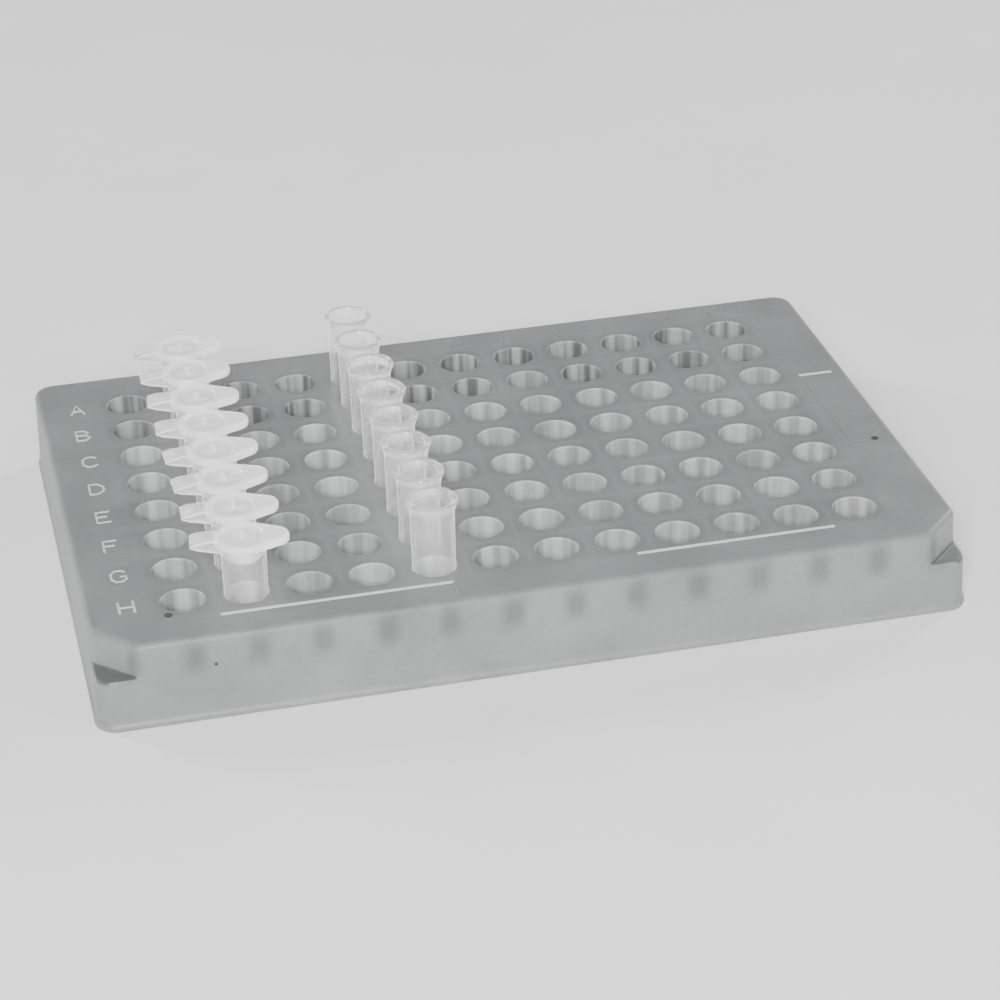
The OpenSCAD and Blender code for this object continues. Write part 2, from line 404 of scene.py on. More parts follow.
def clear_polypropylene(name, transmission, tint, gloss, edge_glow=0.5, lamp_share=0.0):
    """Thin polypropylene: clear where it is thin, milky where transmission is low."""
    material, tree, shader = material_tree(name)
    where = object_coordinates(tree)
    bloom = noise(tree, where, 260.0, detail=3.0)
    ripple = noise(tree, stretched(tree, where, (1.0, 1.0, 0.10)), 700.0, detail=2.0)
    colour = ramp(tree, bloom, [(0.35, tuple(0.96 * c for c in tint)), (0.70, tint)])
    tree.links.new(colour, shader.inputs["Base Color"])
    tree.links.new(spread(tree, bloom, gloss, gloss + 0.07), shader.inputs["Roughness"])
    bump(tree, shader, ripple, 0.30, 0.00012)
    shader.inputs["IOR"].default_value = 1.47
    shader.inputs["Transmission Weight"].default_value = transmission
    shader.inputs["Sheen Weight"].default_value = edge_glow
    shader.inputs["Sheen Roughness"].default_value = 0.3
    shader.inputs["Subsurface Weight"].default_value = 0.4
    shader.inputs["Subsurface Radius"].default_value = (1.0, 1.0, 1.0)
    shader.inputs["Subsurface Scale"].default_value = 0.8 * MM
    if lamp_share:
        lets_lamps_through(tree, shader, lamp_share)
    return material


def scar_polypropylene():
    """Burnt, glossier polypropylene of the gate scars."""
    material, tree, shader = material_tree("scar_polypropylene")
    burn = noise(tree, object_coordinates(tree), 2400.0, detail=3.0)
    colour = ramp(tree, burn, [(0.3, (0.02, 0.02, 0.02)), (0.7, (0.06, 0.06, 0.06))])
    tree.links.new(colour, shader.inputs["Base Color"])
    tree.links.new(spread(tree, burn, 0.3, 0.5), shader.inputs["Roughness"])
    return material


def studio_paper():
    material, tree, shader = material_tree("studio_paper")
    where = object_coordinates(tree)
    fibre = noise(tree, where, 30.0, detail=5.0)
    colour = ramp(tree, fibre, [(0.3, (0.80, 0.80, 0.795)), (0.7, (0.83, 0.83, 0.825))])
    tree.links.new(colour, shader.inputs["Base Color"])
    shader.inputs["Roughness"].default_value = 0.85
    return material


# ---------------------------------------------------------------- the rack
CORNER_STEPS = 16


def corner_points(x_sign, y_sign, half_l, half_w, radius, cut, reach):
    """One corner's points, anticlockwise from above: a lead-in, the corner and a lead-out."""
    corner = Vector((x_sign * half_l, y_sign * half_w))
    # directions in which the outline comes in and goes out
    if x_sign * y_sign > 0:
        inward = Vector((0, y_sign))
        onward = Vector((-x_sign, 0))
    else:
        inward = Vector((x_sign, 0))
        onward = Vector((0, -y_sign))
    start = corner - inward * reach
    end = corner + onward * reach
    points = [start]
    if cut <= 0:
        centre = corner - inward * radius + onward * radius
        for i in range(CORNER_STEPS):
            a = math.pi / 2 * i / (CORNER_STEPS - 1)
            points.append(centre - onward * (radius * math.cos(a))
                          + inward * (radius * math.sin(a)))
    else:
        # two softer 45 degree bends with the slant between them
        soft = radius
        tangent = soft * math.tan(math.pi / 8)
        half = CORNER_STEPS // 2
        slant = (inward + onward).normalized()
        first = corner - inward * cut
        second = corner + onward * cut
        for knee, a_dir in ((first, inward), (second, slant)):
            begin = knee - a_dir * tangent
            normal = Vector((-a_dir.y, a_dir.x))
            centre = begin + normal * soft
            for i in range(half):
                a = math.pi / 4 * i / (half - 1)
                points.append(centre - normal * (soft * math.cos(a))
                              + a_dir * (soft * math.sin(a)))
    points.append(end)
    return points


def rack_outline(inset, height, front_cut):
    """The skirt's outline at a height, moved in by inset, with or without its slanting corners."""
    lean = LEAN * max(0.0, min(height / DECK, 1.0))
    half_l = SKIRT_HALF_L - lean - inset
    half_w = SKIRT_HALF_W - lean - inset
    radius = max(CORNER_R - inset, 0.4 * MM)
    reach = CORNER_CUT + 1.6 * MM
    cut = CORNER_CUT - inset * (2 - math.sqrt(2)) if front_cut else 0.0
    soft = max(2.4 * MM - inset * 0.4, 1.2 * MM)
    points = []
    for x_sign, y_sign in ((1, -1), (1, 1), (-1, 1), (-1, -1)):
        cut_here = cut if y_sign < 0 else 0.0
        r = soft if cut_here else radius
        points += corner_points(x_sign, y_sign, half_l, half_w, r, cut_here, reach)
    return points


def level(outline, height):
    return [Vector((p.x, p.y, height)) for p in outline]


def ledge_rings(inset, edge, height, rise):
    """Rings over the ledge, from the full outline out to the slanting one. rise is +1 going up."""
    full = rack_outline(inset, height, False)
    cut = rack_outline(inset, height, True)
    steps = [(1 - math.cos(a), -(1 - math.sin(a))) for a in
             (0.0, math.pi / 6, math.pi / 3, math.pi / 2)]
    rings = []
    for along, down in steps:
        rings.append(([edge * along] * len(full), height + edge * down))
    lengths = [(c - f).length for f, c in zip(full, cut)]
    for back, up in ((edge, 0.04 * edge), (0.5 * edge, 0.2 * edge), (0.12 * edge, 0.55 * edge),
                     (0.0, edge)):
        rings.append(([length - back for length in lengths], height + up))
    out = []
    for reaches, z in rings:
        ring = []
        for f, c, length, reach in zip(full, cut, lengths, reaches):
            way = (c - f) / length if length > 0.01 * WELD else Vector((0, 0))
            ring.append(f + way * max(0.0, min(reach, length)))
        out.append(level(ring, z))
    return out if rise > 0 else out[::-1]


def rack_shell_rings():
    """Rings down the outside of the skirt, under its foot and up its inside to the deck."""
    edge = 0.9 * MM
    rings = [level(rack_outline(edge + 0.5 * MM, DECK, True), DECK)]
    for i in range(7):
        a = math.pi / 2 * i / 6
        z = DECK - edge * (1 - math.cos(a))
        rings.append(level(rack_outline(edge * (1 - math.sin(a)), z, True), z))
    below = DECK - edge - 0.4 * MM
    rings.append(level(rack_outline(0, below, True), below))
    rings += ledge_rings(0.0, 0.55 * MM, LEDGE, -1)
    for z, out in ((LEDGE - 1.1 * MM, 0), (LIP_H + 0.7 * MM, 0), (LIP_H + 0.2 * MM, 0.05),
                   (LIP_H - 0.02 * MM, 0.45), (LIP_H - 0.2 * MM, 0.9), (LIP_H - 0.4 * MM, 1),
                   (0.3 * MM, 1), (0.08 * MM, 0.75), (0.0, 0.2)):
        rings.append(level(rack_outline(-LIP_OUT * out, z, False), z))
    for z, inset in ((0.0, WALL - 0.25 * MM), (0.08 * MM, WALL - 0.06 * MM), (0.3 * MM, WALL)):
        rings.append(level(rack_outline(inset, z, False), z))
    inner_ledge = LEDGE - DECK_T
    below = inner_ledge - 1.0 * MM
    rings.append(level(rack_outline(WALL, below, False), below))
    rings += ledge_rings(WALL, 0.4 * MM, inner_ledge, 1)
    under = DECK - DECK_T
    fillet = 0.6 * MM
    for i in range(4):
        a = math.pi / 2 * i / 3
        z = under - fillet * (1 - math.sin(a))
        rings.append(level(rack_outline(WALL + fillet * (1 - math.cos(a)), z, True), z))
    rings.append(level(rack_outline(WALL + 1.4 * MM, under, True), under))
    return rings


def socket_cell():
    """One square of the deck with its sleeve, centred on the origin and open at its four sides."""
    segments = 32
    edge = 0.12 * MM
    under = DECK - DECK_T

    def square(z):
        ring = []
        for i in range(segments):
            a = 2 * math.pi * i / segments
            c, s = math.cos(a), math.sin(a)
            grow = PITCH / 2 / max(abs(c), abs(s))
            ring.append(Vector((grow * c, grow * s, z)))
        return ring

    def circle(radius, z):
        step = 2 * math.pi / segments
        return [Vector((radius * math.cos(step * i), radius * math.sin(step * i), z))
                for i in range(segments)]

    rings = [square(DECK), circle(BORE_R + edge + 0.35 * MM, DECK)]
    for i in range(4):
        a = math.pi / 2 * i / 3
        rings.append(circle(BORE_R + edge * (1 - math.sin(a)), DECK - edge * (1 - math.cos(a))))
    rings += [
        circle(BORE_R, DECK - edge - 0.5 * MM),
        circle(BORE_R, SLEEVE_FOOT + 0.15 * MM),
        circle(BORE_R + 0.15 * MM, SLEEVE_FOOT),
        circle(SLEEVE_R - 0.15 * MM, SLEEVE_FOOT),
        circle(SLEEVE_R, SLEEVE_FOOT + 0.2 * MM),
        circle(SLEEVE_R, under - 0.3 * MM),
        circle(SLEEVE_R + 0.25 * MM, under),
        square(under),
    ]
    return ring_mesh("socket_cell", rings)


def socket_grid_tree(material):
    """Sets copies of one socket cell on a grid and welds their sides together."""
    tree = bpy.data.node_groups.new("socket_grid", "GeometryNodeTree")
    side = tree.interface
    side.new_socket("Geometry", in_out="INPUT", socket_type="NodeSocketGeometry")
    side.new_socket("Columns", in_out="INPUT", socket_type="NodeSocketInt")
    side.new_socket("Rows", in_out="INPUT", socket_type="NodeSocketInt")
    side.new_socket("Length", in_out="INPUT", socket_type="NodeSocketFloat")
    side.new_socket("Width", in_out="INPUT", socket_type="NodeSocketFloat")
    side.new_socket("Weld", in_out="INPUT", socket_type="NodeSocketFloat")
    side.new_socket("Geometry", in_out="OUTPUT", socket_type="NodeSocketGeometry")
    nodes, links = tree.nodes, tree.links
    given = nodes.new("NodeGroupInput")
    result = nodes.new("NodeGroupOutput")
    grid = nodes.new("GeometryNodeMeshGrid")
    links.new(given.outputs["Length"], grid.inputs["Size X"])
    links.new(given.outputs["Width"], grid.inputs["Size Y"])
    links.new(given.outputs["Columns"], grid.inputs["Vertices X"])
    links.new(given.outputs["Rows"], grid.inputs["Vertices Y"])
    copies = nodes.new("GeometryNodeInstanceOnPoints")
    links.new(grid.outputs["Mesh"], copies.inputs["Points"])
    links.new(given.outputs["Geometry"], copies.inputs["Instance"])
    real = nodes.new("GeometryNodeRealizeInstances")
    links.new(copies.outputs["Instances"], real.inputs["Geometry"])
    weld = nodes.new("GeometryNodeMergeByDistance")
    links.new(real.outputs["Geometry"], weld.inputs["Geometry"])
    links.new(given.outputs["Weld"], weld.inputs["Distance"])
    paint = nodes.new("GeometryNodeSetMaterial")
    paint.inputs["Material"].default_value = material
    links.new(weld.outputs["Geometry"], paint.inputs["Geometry"])
    links.new(paint.outputs["Geometry"], result.inputs["Geometry"])
    return tree


def grown(name, seed_mesh, tree, values):
    """Runs a geometry node tree on a mesh and returns the plain mesh that comes out."""
    seed = bpy.data.objects.new(name, seed_mesh)
    bpy.context.scene.collection.objects.link(seed)
    modifier = seed.modifiers.new(tree.name, "NODES")
    modifier.node_group = tree
    for item in tree.interface.items_tree:
        if item.in_out == "INPUT" and item.name in values:
            modifier[item.identifier] = values[item.name]
    bpy.context.view_layer.update()
    evaluated = seed.evaluated_get(bpy.context.evaluated_depsgraph_get())
    mesh = bpy.data.meshes.new_from_object(evaluated)
    bpy.data.objects.remove(seed)
    return mesh


def flat_fill(bm, height):
    """Fills the flat band between the open edges that lie at one height."""
    edges = [e for e in bm.edges if e.is_boundary
             and all(abs(v.co.z - height) < WELD for v in e.verts)]
    bmesh.ops.triangle_fill(bm, edges=edges, use_beauty=True, normal=(0, 0, 1))


def mark_sockets(mesh):
    """Notes on each point whether it lies in a bore, over a sleeve or on a corner ledge, for the
    light and shade painted into the rack's colour.

    In the two back rows the bore walls are noted as clear, to be painted darker for the dark
    behind the rack showing through.
    """
    bore = mesh.attributes.new("bore", "FLOAT", "POINT")
    clear = mesh.attributes.new("clear", "FLOAT", "POINT")
    sleeve = mesh.attributes.new("sleeve", "FLOAT", "POINT")
    ledge = mesh.attributes.new("ledge", "FLOAT", "POINT")
    for vertex in mesh.vertices:
        x, y, z = vertex.co
        if abs(x) > GRID_L / 2 or abs(y) > GRID_W / 2:
            inside = min(SKIRT_HALF_L - abs(x), SKIRT_HALF_W - abs(y))
            # the ledge tops are noted for painted shade
            if abs(z - LEDGE) < 0.35 * MM and y < 0 and inside > 0.45 * MM:
                ledge.data[vertex.index].value = 1.0
            continue
        off_x = (x + GRID_L / 2) % PITCH - PITCH / 2
        off_y = (y + GRID_W / 2) % PITCH - PITCH / 2
        reach = math.hypot(off_x, off_y)
        if reach < BORE_R + 0.03 * MM and SLEEVE_FOOT < z < DECK - 0.03 * MM:
            bore.data[vertex.index].value = 1.0
            # painted shade: the two back rows' bore walls are noted for darkening
            clear.data[vertex.index].value = float(y > row_y(2) + PITCH / 2)
        # the deck over a sleeve is noted for painted shadow
        if z > DECK - 0.01 * MM and reach < SLEEVE_R:
            sleeve.data[vertex.index].value = 1.0


def make_rack(material):
    sockets = grown("socket_grid_seed", socket_cell(), socket_grid_tree(material), {
        "Columns": COLUMNS,
        "Rows": ROWS,
        "Length": GRID_L - PITCH,
        "Width": GRID_W - PITCH,
        "Weld": 10 * WELD,
    })
    shell = ring_mesh("rack_shell", rack_shell_rings())
    bm = bmesh.new()
    bm.from_mesh(sockets)
    bm.from_mesh(shell)
    bmesh.ops.remove_doubles(bm, verts=bm.verts, dist=WELD)
    flat_fill(bm, DECK)
    flat_fill(bm, DECK - DECK_T)
    bmesh.ops.recalc_face_normals(bm, faces=bm.faces)
    mesh = bpy.data.meshes.new("rack_body")
    bm.to_mesh(mesh)
    bm.free()
    mark_sockets(mesh)
    rack = finished("rack_body", mesh, material)
    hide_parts("rack_frame", *COLUMN_NODES)
    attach(rack, "rack")
    for node in RAIL_NODES:
        for slot in bpy.data.objects[node].material_slots:
            slot.material = material


# ---------------------------------------------------------------- the tubes
FOLD_LIFT = 0.65 * MM
CAP_LIFT = 0.05 * MM
OPEN_TUBE = {"cone_h": 8.2 * MM, "half_angle": 13, "rim_out": 0.55 * MM, "rim_h": 1.3 * MM}
CAPPED_TUBE = {"cone_h": 11.1 * MM, "half_angle": 10, "rim_out": 0.4 * MM, "rim_h": 1.1 * MM}


def tube_section(length, tip_z, cone_h, half_angle, rim_out, rim_h):
    """Closed section of a thin-walled tube: from the tip up the outside, then down the hollow."""
    slope = math.tan(math.radians(half_angle))
    stretch = math.sqrt(1 + slope * slope)
    tip_r = (BARREL_R - slope * cone_h) / (stretch - slope)
    lean = half_angle
    rim_r = NECK_R + rim_out
    top = length
    lip = min(rim_out, 0.3 * MM)
    outside = [(0.0, 0.0)]
    outside += arc((0, tip_r), tip_r, -78, -lean, 9)
    outside += [
        (BARREL_R - 0.02 * MM, cone_h - 0.25 * MM),
        (BARREL_R, cone_h + 0.2 * MM),
        (NECK_R, top - rim_h - rim_out - 0.5 * MM),
        (NECK_R + 0.05 * rim_out, top - rim_h - rim_out + 0.1 * MM),
        (NECK_R + 0.22 * rim_out, top - rim_h),
        (NECK_R + 0.62 * rim_out, top - 0.62 * rim_h),
        (NECK_R + 0.90 * rim_out, top - 0.40 * rim_h),
        (rim_r, top - lip - 0.06 * MM),
    ]
    outside += arc((rim_r - lip, top - lip), lip, 12, 90, 5)
    inner_r = tip_r - TUBE_WALL
    mouth = 0.22 * MM
    inside = arc((MOUTH_R + mouth, top - mouth), mouth, 90, 180, 5)
    inside += [
        (MOUTH_R, top - 0.9 * MM),
        (MOUTH_R, top - 3.0 * MM),
        (BARREL_R - TUBE_WALL, cone_h + 0.25 * MM),
        (BARREL_R - TUBE_WALL - 0.03 * MM, cone_h - 0.2 * MM),
    ]
    inside += arc((0, tip_r), inner_r, -lean, -78, 8)
    inside.append((0.0, tip_r - inner_r))
    return [(r, z + tip_z) for r, z in outside + inside]


def make_open_tube(row, material, rim_material):
    letter = ROW_LETTERS[row].lower()
    node = f"open_tube_{letter}5"
    length = (high(node) - low(node)).z
    section = tube_section(length, low(node).z, **OPEN_TUBE)
    centre = middle(node)
    mesh = placed(lathe(node, section), 0.0, centre.x, centre.y)
    flare_foot = high(node).z - OPEN_TUBE["rim_h"] - 0.3 * MM
    tube = finished(f"uncapped_tube_{letter}5", mesh, material,
                    thick=rim_material, above=flare_foot)
    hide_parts(node)
    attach(tube, node)


def hinge_of(letter):
    """Fold line of one cap: its middle, the cap's turn about the tube and the tube's axis."""
    joint = JOINTS[f"cap_{letter}2_hinge"]
    fold = Vector(joint["pos_m"])
    axis = Vector(joint["axis"])
    turn = math.atan2(axis.x, -axis.y)
    row = ROW_LETTERS.lower().index(letter)
    centre = Vector((column_x(2), row_y(row), 0))
    return fold, turn, centre


def make_capped_tube(row, material, rim_material):
    letter = ROW_LETTERS[row].lower()
    node = f"tube_{letter}2"
    fold, turn, centre = hinge_of(letter)
    rim = fold.z - FOLD_LIFT - CAP_LIFT
    tip = low(node).z
    section = tube_section(rim - tip, tip, **CAPPED_TUBE)
    mesh = placed(lathe(node, section), turn, centre.x, centre.y)
    flare_foot = rim - CAPPED_TUBE["rim_h"] - 0.05 * MM
    tube = finished(f"capped_tube_{letter}2", mesh, material,
                    thick=rim_material, above=flare_foot)
    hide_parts(node)
    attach(tube, node)


# ---------------------------------------------------------------- the caps
CAP_R = (PITCH - 1.1 * MM) / 2
TAB_R = 2.0 * MM
TAB_X = 6.55 * MM - TAB_R
CAP_T = 1.3 * MM
PLUG_R = MOUTH_R - 0.08 * MM


def cap_angles():
    """Bearings round the cap, closest together on the thumb tab where the outline bends most."""
    side = math.acos((CAP_R - TAB_R) / TAB_X)
    tab_end = math.atan2(TAB_R * math.sin(side), TAB_X + TAB_R * math.cos(side))
    tab = [tab_end * math.sin(math.pi / 2 * i / 9) for i in range(10)]
    flank = [tab_end + (side - tab_end) * i / 5 for i in range(1, 6)]
    back = [side + (math.pi - side) * i / 14 for i in range(1, 15)]
    half = tab + flank + back
    return half + [2 * math.pi - a for a in reversed(half[1:-1])]


def cap_reach(bearing):
    """Distance from the tube's axis to the cap's outline."""
    side = math.acos((CAP_R - TAB_R) / TAB_X)
    tab_end = math.atan2(TAB_R * math.sin(side), TAB_X + TAB_R * math.cos(side))
    a = abs((bearing + math.pi) % (2 * math.pi) - math.pi)
    if a <= tab_end:
        return TAB_X * math.cos(a) + math.sqrt(TAB_R ** 2 - (TAB_X * math.sin(a)) ** 2)
    if a <= side:
        return CAP_R / math.cos(a - side)
    return CAP_R


def gate_bar(z):
    """Low bar left by the mould's gate, across the middle of the dish."""
    half = 1.2 * MM
    rings = []
    for y, r in ((-half, 0.05), (-half + 0.05 * MM, 0.25), (-half + 0.2 * MM, 0.4),
                 (half - 0.2 * MM, 0.4), (half - 0.05 * MM, 0.25), (half, 0.05)):
        ring = []
        for i in range(10):
            a = 2 * math.pi * i / 10
            ring.append(Vector((r * MM * math.cos(a), y, z + 0.7 * r * MM * math.sin(a))))
        rings.append(ring)
    return outward(ring_mesh("gate_bar", rings, close_start=True, close_end=True))


def joined(first, second):
    bm = bmesh.new()
    bm.from_mesh(first)
    bm.from_mesh(second)
    bm.to_mesh(first)
    bm.free()
    return first


def make_cap(row, material, dish_material):
    letter = ROW_LETTERS[row].lower()
    node = f"cap_{letter}2"
    fold, turn, centre = hinge_of(letter)
    bottom = fold.z - FOLD_LIFT
    top = bottom + CAP_T
    angles = cap_angles()

    def round_ring(radius, z):
        return [Vector((radius * math.cos(a), radius * math.sin(a), z)) for a in angles]

    def cap_ring(inset, z):
        return [Vector(((cap_reach(a) - inset) * math.cos(a),
                        (cap_reach(a) - inset) * math.sin(a), z)) for a in angles]

    edge = 0.4 * MM
    dish = 0.3 * MM
    dish_r = CAP_R - 0.9 * MM
    rings = [
        round_ring(0.3 * MM, top - dish),
        round_ring(dish_r - 0.5 * MM, top - dish),
        round_ring(dish_r - 0.18 * MM, top - dish + 0.05 * MM),
        round_ring(dish_r, top - 0.05 * MM),
        round_ring(dish_r + 0.14 * MM, top),
    ]
    for i in range(6):
        a = math.pi / 2 * i / 5
        rings.append(cap_ring(edge * (1 - math.sin(a)), top - edge * (1 - math.cos(a))))
    rings += [
        cap_ring(0, bottom + 0.35 * MM),
        cap_ring(0.08 * MM, bottom + 0.1 * MM),
        cap_ring(0.3 * MM, bottom),
        round_ring(PLUG_R + 0.05 * MM, bottom),
        round_ring(PLUG_R, bottom - 0.08 * MM),
        round_ring(PLUG_R - 0.16 * MM, bottom - 1.1 * MM),
        round_ring(PLUG_R - 0.40 * MM, bottom - 1.9 * MM),
        round_ring(PLUG_R - 0.58 * MM, bottom - 2.2 * MM),
        round_ring(PLUG_R - 0.76 * MM, bottom - 2.2 * MM),
        round_ring(PLUG_R - 0.92 * MM, bottom - 1.9 * MM),
        round_ring(PLUG_R - 0.8 * MM, bottom + 0.1 * MM),
        round_ring(PLUG_R - 1.2 * MM, bottom + 0.35 * MM),
        round_ring(0.4 * MM, bottom + 0.4 * MM),
    ]
    mesh = outward(ring_mesh(node, rings, close_start=True, close_end=True))
    mesh = joined(mesh, gate_bar(top - dish))
    placed(mesh, turn, centre.x, centre.y)
    cap = finished(f"snap_cap_{letter}2", mesh, material)
    mesh.materials.append(dish_material)
    for polygon in mesh.polygons:
        at = polygon.center
        off = math.hypot(at.x - centre.x, at.y - centre.y)
        polygon.material_index = int(at.z < top - 0.6 * dish and off < dish_r - 0.1 * MM)
    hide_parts(node)
    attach(cap, node)


# ---------------------------------------------------------------- the hinge straps
def strap_path():
    """Middle line of a folded strap about its fold: (along, up, half thickness)."""
    leaf = 0.225 * MM
    film = 0.11 * MM
    bend = 0.13 * MM
    low_slope = math.tan(math.radians(15))
    high_slope = math.tan(math.radians(6))
    path = []
    for x in (4.3, 3.4, 2.4, 1.5, 0.9):
        path.append((x * MM, -x * MM * low_slope - leaf * 1.03, leaf))
    path.append((0.45 * MM, -0.45 * MM * low_slope - 0.17 * MM, 0.16 * MM))
    for i in range(9):
        a = math.radians(-90 - 180 * i / 8)
        path.append((bend * math.cos(a), bend * math.sin(a), film))
    path.append((0.45 * MM, 0.45 * MM * high_slope + 0.17 * MM, 0.16 * MM))
    for x in (0.9, 1.6, 2.4, 3.2, 3.64):
        path.append((x * MM, x * MM * high_slope + leaf * 1.02, leaf))
    return path


def make_strap(row, material):
    letter = ROW_LETTERS[row].lower()
    fold, turn, _ = hinge_of(letter)
    path = strap_path()
    rings = []
    for i, (x, z, half_t) in enumerate(path):
        half_w = (1.8 - 0.11 * max(0.0, x / MM)) * MM
        before = path[max(i - 1, 0)]
        after = path[min(i + 1, len(path) - 1)]
        along = Vector((after[0] - before[0], 0, after[1] - before[1])).normalized()
        across = Vector((-along.z, 0, along.x))
        round_off = min(half_t, 0.2 * MM) * 0.8
        ring = []
        for sy, sn in ((1, 1), (-1, 1), (-1, -1), (1, -1)):
            corner = Vector((x, sy * (half_w - round_off), z)) + across * sn * (half_t - round_off)
            quarter = {(1, 1): 0, (-1, 1): 90, (-1, -1): 180, (1, -1): 270}[(sy, sn)]
            for k in range(4):
                a = math.radians(quarter + 30 * k)
                ring.append(corner + Vector((0, round_off * math.cos(a), 0))
                            + across * (round_off * math.sin(a)))
        rings.append(ring)
    mesh = outward(ring_mesh(f"strap_{letter}", rings, close_start=True, close_end=True))
    mesh.transform(Matrix.Translation(fold) @ Matrix.Rotation(turn, 4, "Z"))
    strap = finished(f"hinge_strap_{letter}2", mesh, material)
    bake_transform(strap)


# ---------------------------------------------------------------- raised marks
# Each glyph is a few strokes on a cell 1 wide and 1.5 high.
GLYPHS = {
    "A": [[(0, 0), (0.5, 1.5), (1, 0)], [(0.2, 0.55), (0.8, 0.55)]],
    "B": [[(0, 0), (0, 1.5), (0.6, 1.5), (0.9, 1.15), (0.6, 0.8), (0, 0.8)],
          [(0.6, 0.8), (1, 0.4), (0.65, 0), (0, 0)]],
    "C": [[(1, 1.25), (0.7, 1.5), (0.3, 1.5), (0, 1.1), (0, 0.4), (0.3, 0), (0.7, 0), (1, 0.25)]],
    "D": [[(0, 0), (0, 1.5), (0.55, 1.5), (1, 1.05), (1, 0.45), (0.55, 0), (0, 0)]],
    "E": [[(0.95, 1.5), (0, 1.5), (0, 0), (0.95, 0)], [(0, 0.8), (0.75, 0.8)]],
    "F": [[(0.95, 1.5), (0, 1.5), (0, 0)], [(0, 0.8), (0.75, 0.8)]],
    "G": [[(1, 1.25), (0.7, 1.5), (0.3, 1.5), (0, 1.1), (0, 0.4), (0.3, 0), (0.7, 0), (1, 0.3),
           (1, 0.7), (0.6, 0.7)]],
    "H": [[(0, 0), (0, 1.5)], [(1, 0), (1, 1.5)], [(0, 0.78), (1, 0.78)]],
    "0": [[(0.5, 1.5), (0.85, 1.2), (0.85, 0.3), (0.5, 0), (0.15, 0.3), (0.15, 1.2), (0.5, 1.5)]],
    "1": [[(0.25, 1.15), (0.55, 1.5), (0.55, 0)]],
    "2": [[(0.1, 1.2), (0.35, 1.5), (0.7, 1.5), (0.9, 1.15), (0.1, 0), (0.9, 0)]],
    "3": [[(0.1, 1.3), (0.4, 1.5), (0.75, 1.4), (0.75, 0.95), (0.4, 0.8), (0.85, 0.6), (0.85, 0.2),
           (0.45, 0), (0.1, 0.2)]],
    "4": [[(0.7, 0), (0.7, 1.5), (0.1, 0.45), (0.95, 0.45)]],
    "5": [[(0.85, 1.5), (0.2, 1.5), (0.15, 0.85), (0.6, 0.95), (0.9, 0.6), (0.8, 0.15), (0.45, 0),
           (0.1, 0.15)]],
    "6": [[(0.8, 1.4), (0.4, 1.5), (0.12, 0.9), (0.15, 0.25), (0.5, 0), (0.85, 0.3), (0.8, 0.75),
           (0.45, 0.85), (0.15, 0.6)]],
    "7": [[(0.1, 1.5), (0.9, 1.5), (0.4, 0)]],
    "8": [[(0.5, 0.8), (0.15, 1.15), (0.5, 1.5), (0.85, 1.15), (0.5, 0.8), (0.1, 0.4), (0.5, 0),
           (0.9, 0.4), (0.5, 0.8)]],
    "9": [[(0.2, 0.1), (0.6, 0), (0.88, 0.6), (0.85, 1.25), (0.5, 1.5), (0.15, 1.2), (0.2, 0.75),
           (0.55, 0.65), (0.85, 0.9)]],
}
LETTER_SCALE = 2.1 * MM
NUMBER_SCALE = 1.5 * MM
BEAD_SINK = 0.1 * MM
GATE_SCAR_R = 0.6 * MM
PIN_SCAR_R = 0.28 * MM


def word_strokes(word, x, y, scale):
    """Strokes of a short mark centred on a point of the deck."""
    advance = 1.35
    width = advance * (len(word) - 1) + 1
    strokes = []
    for i, glyph in enumerate(word):
        for stroke in GLYPHS[glyph]:
            strokes.append([(x + scale * (px + advance * i - width / 2), y + scale * (py - 0.75))
                            for px, py in stroke])
    return strokes


def letter_strokes():
    strokes = []
    for row, letter in enumerate(ROW_LETTERS):
        strokes += word_strokes(letter, column_x(1) - 7.9 * MM, row_y(row), LETTER_SCALE)
    return strokes


def number_strokes():
    strokes = []
    for column in range(1, COLUMNS + 1):
        strokes += word_strokes(str(column), column_x(column), GRID_W / 2 + 2.4 * MM,
                                NUMBER_SCALE)
    return strokes


def stroke_tree(material):
    """Lays a thin bead along every drawn stroke."""
    tree = bpy.data.node_groups.new("raised_strokes", "GeometryNodeTree")
    side = tree.interface
    side.new_socket("Geometry", in_out="INPUT", socket_type="NodeSocketGeometry")
    side.new_socket("Bead Radius", in_out="INPUT", socket_type="NodeSocketFloat")
    side.new_socket("Bead Sides", in_out="INPUT", socket_type="NodeSocketInt")
    side.new_socket("Geometry", in_out="OUTPUT", socket_type="NodeSocketGeometry")
    nodes, links = tree.nodes, tree.links
    given = nodes.new("NodeGroupInput")
    result = nodes.new("NodeGroupOutput")
    lines = nodes.new("GeometryNodeMeshToCurve")
    links.new(given.outputs["Geometry"], lines.inputs["Mesh"])
    bead = nodes.new("GeometryNodeCurvePrimitiveCircle")
    links.new(given.outputs["Bead Sides"], bead.inputs["Resolution"])
    links.new(given.outputs["Bead Radius"], bead.inputs["Radius"])
    sweep = nodes.new("GeometryNodeCurveToMesh")
    sweep.inputs["Fill Caps"].default_value = True
    links.new(lines.outputs["Curve"], sweep.inputs["Curve"])
    links.new(bead.outputs["Curve"], sweep.inputs["Profile Curve"])
    real = nodes.new("GeometryNodeRealizeInstances")
    links.new(sweep.outputs["Mesh"], real.inputs["Geometry"])
    paint = nodes.new("GeometryNodeSetMaterial")
    paint.inputs["Material"].default_value = material
    links.new(real.outputs["Geometry"], paint.inputs["Geometry"])
    links.new(paint.outputs["Geometry"], result.inputs["Geometry"])
    return tree


def raised(name, strokes, material, tree, bead_r, depth):
    """A piece made of beads sunk into the deck until only their backs stand proud."""
    bm = bmesh.new()
    for stroke in strokes:
        verts = [bm.verts.new((x, y, DECK - depth)) for x, y in stroke]
        for a, b in zip(verts, verts[1:]):
            bm.edges.new((a, b))
    seed = bpy.data.meshes.new(name + "_lines")
    bm.to_mesh(seed)
    bm.free()
    mesh = outward(grown(name + "_seed", seed, tree, {"Bead Radius": bead_r, "Bead Sides": 8}))
    piece = finished(name, mesh, material)
    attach(piece, "rack")


